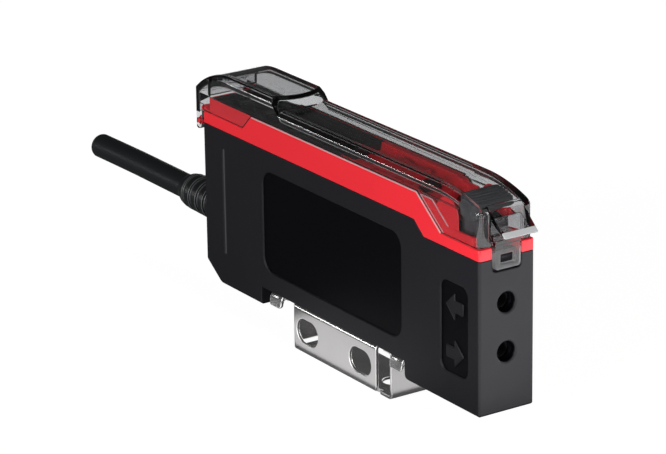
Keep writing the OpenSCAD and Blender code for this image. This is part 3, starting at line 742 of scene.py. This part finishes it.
def closed_mesh(name: str, work: bmesh.types.BMesh, loops: list[Ring]) -> bpy.types.Mesh:
    """Joins outlines in order, closes both ends and keeps the mesh.

    Args:
        name: Name of the mesh.
        work: Form that holds the outlines; it is freed.
        loops: The outlines, from one end to the other.

    Returns:
        The mesh.
    """
    for first, second in zip(loops, loops[1:]):
        bridge(work, first, second)
    work.faces.new(loops[-1])
    work.faces.new(list(reversed(loops[0])))
    bmesh.ops.recalc_face_normals(work, faces=work.faces)
    mesh = bpy.data.meshes.new(name)
    work.to_mesh(mesh)
    work.free()
    return mesh


@dataclass
class ViewPoint:
    """Camera at the viewing angle of the photograph."""

    place: RGB = (0.39427, -0.26634, 0.18880)
    back: RGB = (0.7861, -0.5222, 0.3308)
    heading: float = 56.41
    roll: float = -0.83
    lens: float = 184.2
    sensor: float = 36.0
    nearest: float = 0.01

    def build(self) -> None:
        """Makes the camera and sets it for the scene."""
        data = bpy.data.cameras.new("view_point")
        data.lens = self.lens
        data.sensor_width = self.sensor
        data.sensor_fit = "HORIZONTAL"
        data.clip_start = self.nearest
        back = Vector(self.back).normalized()
        turn = math.radians(self.heading)
        right = Vector((math.cos(turn), math.sin(turn), 0.0))
        up = back.cross(right).normalized()
        right = up.cross(back).normalized()
        lean = math.radians(self.roll)
        side = right * math.cos(lean) + up * math.sin(lean)
        top = up * math.cos(lean) - right * math.sin(lean)
        camera = bpy.data.objects.new("view_point", data)
        axes = Matrix((side, top, back)).transposed().to_4x4()
        camera.matrix_world = Matrix.Translation(Vector(self.place)) @ axes
        bpy.context.scene.collection.objects.link(camera)
        bpy.context.scene.camera = camera
        LOG.info("camera set")


@dataclass
class Softbox:
    """Large soft lamp aimed at the object."""

    name: str
    place: RGB
    size: tuple[float, float]
    power: float
    aim: RGB = (0.0, 0.0, 0.02)

    def build(self) -> None:
        """Hangs the lamp and turns it to its aim."""
        data = bpy.data.lights.new(self.name, "AREA")
        data.shape = "RECTANGLE"
        data.size, data.size_y = self.size
        data.energy = self.power
        lamp = bpy.data.objects.new(self.name, data)
        lamp.location = self.place
        lamp.visible_camera = False
        lamp.visible_transmission = False
        lamp.rotation_euler = (Vector(self.aim) - Vector(self.place)).to_track_quat("-Z", "Y").to_euler()
        bpy.context.scene.collection.objects.link(lamp)


@dataclass
class Studio:
    """Plain pale floor, soft lamps and a dim surround."""

    surround: float = 0.05
    floor_size: float = 3.0
    paper_grey: RGB = (0.25, 0.25, 0.252)
    paper_seen: RGB = (0.2, 0.2, 0.2)
    paper_glow: float = 0.93
    paper_roughness: float = 0.9
    lamps: list[Softbox] = field(
        default_factory=lambda: [
            Softbox("key_softbox", (0.95, 0.08, 0.38), (0.4, 0.4), 4.4),
            Softbox("fill_softbox", (0.30, -1.15, 0.22), (0.7, 0.7), 15.5),
            Softbox("top_softbox", (0.10, -0.10, 1.1), (0.9, 0.9), 0.4),
            Softbox("edge_softbox", (-0.79, -0.60, 0.13), (0.11, 0.11), 0.45),
            Softbox("back_softbox", (0.35, 1.15, 0.20), (0.7, 0.7), 7.0),
            Softbox("front_card", (0.242, 0.10, 0.002), (0.4, 0.4), 1.25, (0.242, 0.10, 1.0)),
            Softbox("side_card", (-0.004, -0.0125, 0.0004), (0.036, 0.014), 0.0009, (-0.004, -0.0125, 1.0)),
            Softbox("cable_card", (-0.17, 0.105, 0.014), (0.06, 0.026), 0.007, (-0.055, 0.0, 0.013)),
            Softbox("end_card", (0.0215, 0.001, 0.0004), (0.011, 0.012), 0.00022, (0.0215, 0.001, 1.0)),
        ]
    )

    def build(self) -> None:
        """Makes floor, lamps and surround."""
        mesh = bpy.data.meshes.new("studio_floor")
        half = self.floor_size / 2
        corners = [(-half, -half, 0.0), (half, -half, 0.0), (half, half, 0.0), (-half, half, 0.0)]
        mesh.from_pydata(corners, [], [(0, 1, 2, 3)])
        floor = bpy.data.objects.new("studio_floor", mesh)
        bpy.context.scene.collection.objects.link(floor)
        mesh.materials.append(self._paper())
        for lamp in self.lamps:
            lamp.build()
        bpy.context.scene.world = self._surround()
        bpy.context.scene.view_settings.view_transform = "Standard"
        LOG.info("studio set")

    @staticmethod
    def _looked_at(tree: bpy.types.NodeTree) -> bpy.types.NodeSocket:
        """Finds where the view falls, straight or through clear plastic alone.

        Args:
            tree: Node tree of the floor or the surround.

        Returns:
            Socket that is 1 there and 0 for all other light.
        """
        path = tree.nodes.new("ShaderNodeLightPath")
        same = tree.nodes.new("ShaderNodeMath")
        same.operation = "COMPARE"
        same.inputs[2].default_value = 0.5
        tree.links.new(path.outputs["Ray Depth"], same.inputs[0])
        tree.links.new(path.outputs["Transmission Depth"], same.inputs[1])
        return same.outputs[0]

    def _paper(self) -> bpy.types.Material:
        """Makes paper that glows white where it is looked at, and is grey to all other light.

        Returns:
            The floor's material.
        """
        made, tree, shader, output = blank_material("studio_paper")
        bright = tree.nodes.new("ShaderNodeBsdfPrincipled")
        for side, colour in ((shader, self.paper_grey), (bright, self.paper_seen)):
            side.inputs["Base Color"].default_value = (*colour, 1.0)
            side.inputs["Roughness"].default_value = self.paper_roughness
            side.inputs["Specular IOR Level"].default_value = 0.0
        bright.inputs["Emission Color"].default_value = (1.0, 1.0, 1.0, 1.0)
        bright.inputs["Emission Strength"].default_value = self.paper_glow
        mix = tree.nodes.new("ShaderNodeMixShader")
        tree.links.new(self._looked_at(tree), mix.inputs["Fac"])
        tree.links.new(shader.outputs["BSDF"], mix.inputs[1])
        tree.links.new(bright.outputs["BSDF"], mix.inputs[2])
        tree.links.new(mix.outputs["Shader"], output.inputs["Surface"])
        return made

    def _surround(self) -> bpy.types.World:
        """Makes a surround that is white where it is looked at, and dim to all other light.

        Returns:
            The world.
        """
        world = bpy.data.worlds.new("studio_surround")
        world.use_nodes = True
        tree = world.node_tree
        dim = tree.nodes["Background"]
        dim.inputs["Color"].default_value = (1.0, 1.0, 1.0, 1.0)
        dim.inputs["Strength"].default_value = self.surround
        white = tree.nodes.new("ShaderNodeBackground")
        white.inputs["Color"].default_value = (1.0, 1.0, 1.0, 1.0)
        mix = tree.nodes.new("ShaderNodeMixShader")
        tree.links.new(self._looked_at(tree), mix.inputs["Fac"])
        tree.links.new(dim.outputs["Background"], mix.inputs[1])
        tree.links.new(white.outputs["Background"], mix.inputs[2])
        tree.links.new(mix.outputs["Shader"], tree.nodes["World Output"].inputs["Surface"])
        return world


@dataclass
class Cable:
    """Round cable, cut square at its free end, and its grooved boot."""

    radius: float = 2.0
    jacket: float = 0.55
    sides: int = 40
    step: float = 1.9
    boot_edge: float = 0.12
    cut_round: tuple[tuple[float, float], ...] = ((0.28, 0.0), (0.12, 0.05), (0.03, 0.14), (0.0, 0.28))
    cut_depth: float = 0.35
    cut_draft: float = 0.04
    core_ring: float = 0.72
    core_sides: int = 20
    core_steps: tuple[tuple[float, float], ...] = (
        (1.2, 0.5),
        (0.12, 0.5),
        (0.08, 0.45),
        (0.08, 0.27),
        (0.16, 0.25),
    )
    route: tuple[tuple[float, float], ...] = (
        (2.4, 10.2),
        (-8.0, 10.2),
        (-20.0, 10.2),
        (-28.0, 10.2),
        (-35.0, 10.1),
        (-40.5, 10.0),
    )

    def line(self) -> list[Vector]:
        """Lays out the centre line.

        Returns:
            Its points, about every two millimetres.
        """
        points: list[Vector] = []
        for (x0, z0), (x1, z1) in zip(self.route, self.route[1:]):
            steps = max(2, round(abs(x1 - x0) / self.step))
            points += [at(x0 + (x1 - x0) * i / steps, 0.0, z0 + (z1 - z0) * i / steps) for i in range(steps)]
        points.append(at(self.route[-1][0], 0.0, self.route[-1][1]))
        return points

    def build(self) -> None:
        """Makes the jacket, the cut end and the boot."""
        # The boot's broken edges take the lighter grey painted highlight.
        boot = solid_copy("strain_relief", BOOT_BLACK, self.boot_edge, rim=BOOT_RIM_HIGHLIGHT)
        cores = self._cores()
        line = self.line()
        work = bmesh.new()
        radius = self.radius * MM
        rings = [ring(work, p, radius, self.sides) for p in line[:-1]]
        end = line[-1]
        for inset, shrink in self.cut_round:
            rings.append(ring(work, end + ALONG * inset * MM, radius - shrink * MM, self.sides))
        inner = radius - self.jacket * MM
        rings.append(ring(work, end, inner, self.sides))
        floor = end + ALONG * self.cut_depth * MM
        rings.append(ring(work, floor, inner - self.cut_draft * MM, self.sides))
        mesh = closed_mesh("cable_jacket", work, rings)
        for polygon in mesh.polygons:
            polygon.use_smooth = len(polygon.vertices) == 4
        piece = new_piece("cable_jacket", mesh, JACKET_BLACK, "base")
        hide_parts("cable")

    def _cores(self) -> list[bpy.types.Object]:
        """Makes four cut cores in the open end of the jacket.

        Returns:
            The cores.
        """
        end = at(self.route[-1][0], 0.0, self.route[-1][1])
        tints: dict[str, RGB] = {
            "brown": (0.12, 0.045, 0.02),
            "blue": (0.02, 0.06, 0.30),
            "white": (0.6, 0.6, 0.58),
            "dark": (0.012, 0.012, 0.013),
        }
        made = []
        for i, (word, tint) in enumerate(tints.items()):
            turn = math.radians(45 + 90 * i)
            spoke = ACROSS * math.cos(turn) + UPWARD * math.sin(turn)
            middle = end + spoke * self.core_ring * MM
            work = bmesh.new()
            loops = [
                ring(work, middle + ALONG * inset * MM, radius * MM, self.core_sides)
                for inset, radius in self.core_steps
            ]
            mesh = closed_mesh("core_" + word, work, loops)
            finish = MouldedFinish("core_" + word, tint, 0.4, depth=0.000002)
            made.append(new_piece("core_" + word, mesh, finish, "base"))
        return made


class ShellFace(IntEnum):
    """Places of the finishes on the housing's mesh."""

    GRAINED = 0
    SUNK = 1
    GROOVE = 2


@dataclass
class Housing:
    """Black moulded shell with its smoother sunk side panels."""

    edge: float = 0.14
    facing: float = -0.9
    sunk_y: float = -4.55
    sunk_slack: float = 0.03
    front_x: float = 72.3
    port_z: tuple[float, float] = (9.05, 16.45)
    port_r: float = 1.75
    port_reach: tuple[float, float] = (6.0, 0.2)
    groove_x: tuple[float, float] = (5.5, 6.0)
    groove_y: float = -4.6
    groove_slack: float = 0.05

    def build(self) -> None:
        """Copies the shell; gives the sunk panels their own finish, the ports a darker black as painted
        shade and the groove a lighter grey as a painted highlight.
        """
        shell = solid_copy("housing", HOUSING_BLACK, self.edge)
        shell.data.materials.append(SHELF.get(SUNK_PANEL_AND_PORT_SHADE))
        shell.data.materials.append(SHELF.get(GROOVE_PAINTED_HIGHLIGHT))
        near, far = (at(x, 0.0, 0.0).x for x in self.groove_x)
        for polygon in shell.data.polygons:
            level = polygon.center.y / MM
            facing = polygon.normal.y < self.facing
            grooved = abs(level - self.groove_y) < self.groove_slack
            sunk = abs(level - self.sunk_y) < self.sunk_slack
            # Groove faces get the lighter grey painted highlight.
            if facing and near < polygon.center.x < far and grooved:
                polygon.material_index = ShellFace.GROOVE
            # Faces inside the fibre ports get the darker black as painted shade.
            elif (facing and sunk) or self._in_port(polygon.center):
                polygon.material_index = ShellFace.SUNK

    def _in_port(self, point: Vector) -> bool:
        """Tells whether a point lies inside one of the fibre ports.

        Args:
            point: The point, in metres.

        Returns:
            True inside a port.
        """
        deep, shallow = (at(self.front_x - reach, 0.0, 0.0).x for reach in self.port_reach)
        if not deep < point.x < shallow:
            return False
        reach = [math.hypot(point.y, point.z - at(0.0, 0.0, z).z) for z in self.port_z]
        return min(reach) < self.port_r * MM


@dataclass
class RedFrame:
    """Red frame with the front deck, the cheeks and the hinge lugs."""

    edge: float = 0.14
    highlight_y: float = 3.8
    highlight_low: float = 27.0
    highlight_rear: float = 13.5
    highlight_slope: float = 0.25

    def build(self) -> None:
        """Copies the frame, with a pale line along its upper edge under the cover: a painted highlight."""
        shell = solid_copy("bezel_frame", FRAME_RED, self.edge, rim=PAINTED_EDGE_HIGHLIGHT)
        start = at(self.highlight_rear, 0.0, self.highlight_low)
        for polygon in shell.data.polygons:
            face, place = polygon.normal, polygon.center
            upper = place.z > start.z and place.x > start.x and abs(place.y) > self.highlight_y * MM
            sloped = face.z > self.highlight_slope and abs(face.y) > self.highlight_slope
            # Broken edges along the upper edge keep the pale painted highlight; all others turn red again.
            if not (upper and sloped and face.y * place.y > 0.0):
                polygon.material_index = 0


@dataclass
class DustCover:
    """Smoky clear cover."""

    edge: float = 0.14
    turn: float = 24.0
    lip_highlight_x: float = 75.0
    lip_highlight_slope: float = 0.2
    lip_highlight_slack: float = 0.001

    def build(self) -> None:
        """Copies the cover as a clear shell, with an opaque pale band on the finger lip: a painted
        highlight.
        """
        shell = solid_copy("dust_cover", SMOKY_CLEAR, self.edge, angle=self.turn)
        shell.data.materials.append(SHELF.get(LIP_PAINTED_HIGHLIGHT))
        start = at(self.lip_highlight_x, 0.0, 0.0)
        work = bmesh.new()
        work.from_mesh(shell.data)
        lip = [f for f in work.faces if max(v.co.x for v in f.verts) > start.x]
        parts = lip + list({e for f in lip for e in f.edges}) + list({v for f in lip for v in f.verts})
        bmesh.ops.bisect_plane(work, geom=parts, plane_co=start, plane_no=(1.0, 0.0, 0.0))
        first = start.x - self.lip_highlight_slack * MM
        # Upward faces past the lip line get the opaque pale painted highlight.
        for face in work.faces:
            if min(v.co.x for v in face.verts) > first and face.normal.z > self.lip_highlight_slope:
                face.material_index = 1
        work.to_mesh(shell.data)
        work.free()


@dataclass
class OperatorPanel:
    """Dark panel with display, keys, sliders and lamp."""

    digits: int = 4
    win_x: float = 21.5
    win_l: float = 14.9
    win_rim: float = 1.5
    digit_z: float = 27.5
    bar_long: float = 0.8
    bar_half: float = 0.11
    bar_heights: tuple[float, float] = (-0.02, 0.03)
    rung_along: float = 1.275
    rail_along: float = 0.6375
    rail_across: float = 0.88
    panel_edge: float = 0.08
    window_edge: float = 0.06
    key_edge: float = 0.15
    knob_edge: float = 0.1

    def build(self) -> None:
        """Dresses the panel and what is set into it."""
        solid_copy("operator_panel", PANEL_BLACK, self.panel_edge)
        solid_copy("display_window", WINDOW_TINT, self.window_edge)
        dress_solid("display_module", DIGIT_GREY)
        solid_copy("rocker_button", KEY_RED, self.key_edge)
        solid_copy("set_button", KEY_DARK, self.key_edge)
        solid_copy("mode_knob", KEY_DARK, self.knob_edge)
        solid_copy("output_knob", KEY_DARK, self.knob_edge)
        solid_copy("indicator_pipe", LAMP_AMBER, self.key_edge)
        self._segments()

    def _segments(self) -> None:
        """Unlit bars of the number display, on the display block."""
        work = bmesh.new()
        pitch = (self.win_l - 2 * self.win_rim) / self.digits
        heights = tuple(self.digit_z + step for step in self.bar_heights)
        bars = [(step * self.rung_along, 0.0, False) for step in (1, 0, -1)]
        bars += [(t * self.rail_along, s * self.rail_across, True) for s in (-1, 1) for t in (-1, 1)]
        for i in range(self.digits):
            centre = self.win_x + self.win_rim + pitch * (i + 0.5)
            for along, across, turned in bars:
                self._bar(work, (centre + along, across), turned, heights)
        mesh = bpy.data.meshes.new("display_segments")
        bmesh.ops.recalc_face_normals(work, faces=work.faces)
        work.to_mesh(mesh)
        work.free()
        new_piece("display_segments", mesh, DIGIT_PALE, "base")

    def _bar(
        self, work: bmesh.types.BMesh, centre: tuple[float, float], turned: bool, heights: tuple[float, ...]
    ) -> None:
        """Adds one six-sided display bar.

        Args:
            work: Mesh that takes the bar.
            centre: Its middle, along and across the housing.
            turned: True where it runs along the housing.
            heights: Its lower and upper height.
        """
        reach, half = self.bar_long / 2, self.bar_half
        outline = [
            (-reach, 0.0),
            (-reach + half, -half),
            (reach - half, -half),
            (reach, 0.0),
            (reach - half, half),
            (-reach + half, half),
        ]
        loops = []
        for z in heights:
            spots = [(a, b) if turned else (b, a) for a, b in outline]
            loops.append([work.verts.new(at(centre[0] + a, centre[1] + b, z)) for a, b in spots])
        bridge(work, loops[0], loops[1])
        work.faces.new(loops[1])
        work.faces.new(list(reversed(loops[0])))


@dataclass
class FibreLock:
    """Lever, clamp plate, guide block and optics."""

    edge: float = 0.1
    block_edge: float = 0.06
    plate_edge: float = 0.08

    def build(self) -> None:
        """Dresses the lock and the optics behind it."""
        solid_copy("fibre_lever", LEVER_BLACK, self.edge)
        solid_copy("fibre_block", PANEL_BLACK, self.block_edge)
        solid_copy("clamp_plate", PIN_STEEL, self.plate_edge)
        solid_copy("lever_axle", PIN_STEEL, self.edge)
        solid_copy("emitter_led", LENS_RED, self.edge)
        solid_copy("receiver_diode", LENS_DARK, self.edge)


@dataclass
class Boards:
    """Boards and the parts soldered to them, inside the shell."""

    edge: float = 0.08

    def build(self) -> None:
        """Dresses the boards and what they carry."""
        dress_solid("main_board", BOARD_GREEN)
        dress_solid("key_board", BOARD_GREEN)
        solid_copy("board_components", CHIP_BLACK, self.edge)
        solid_copy("tact_switches", SWITCH_GREY, self.edge)
        solid_copy("slide_switches", SWITCH_GREY, self.edge)


@dataclass
class Bracket:
    """Folded and plated mounting bracket."""

    edge: float = 0.14

    def build(self) -> None:
        """Copies the folded sheet, with brighter broken edges: a painted highlight along the rims."""
        solid_copy("bracket", PLATE_NICKEL, self.edge, rim=PLATE_RIM_HIGHLIGHT)


def main() -> None:
    """Builds the scene in order: view, cable, studio, then each sub-assembly."""
    logging.basicConfig(level=logging.INFO, format="%(name)s: %(message)s")
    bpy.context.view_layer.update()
    ViewPoint().build()
    Cable().build()
    Studio().build()
    for part in (Housing(), RedFrame(), DustCover(), OperatorPanel(), FibreLock(), Boards(), Bracket()):
        part.build()


if __name__ == "__main__":
    main()
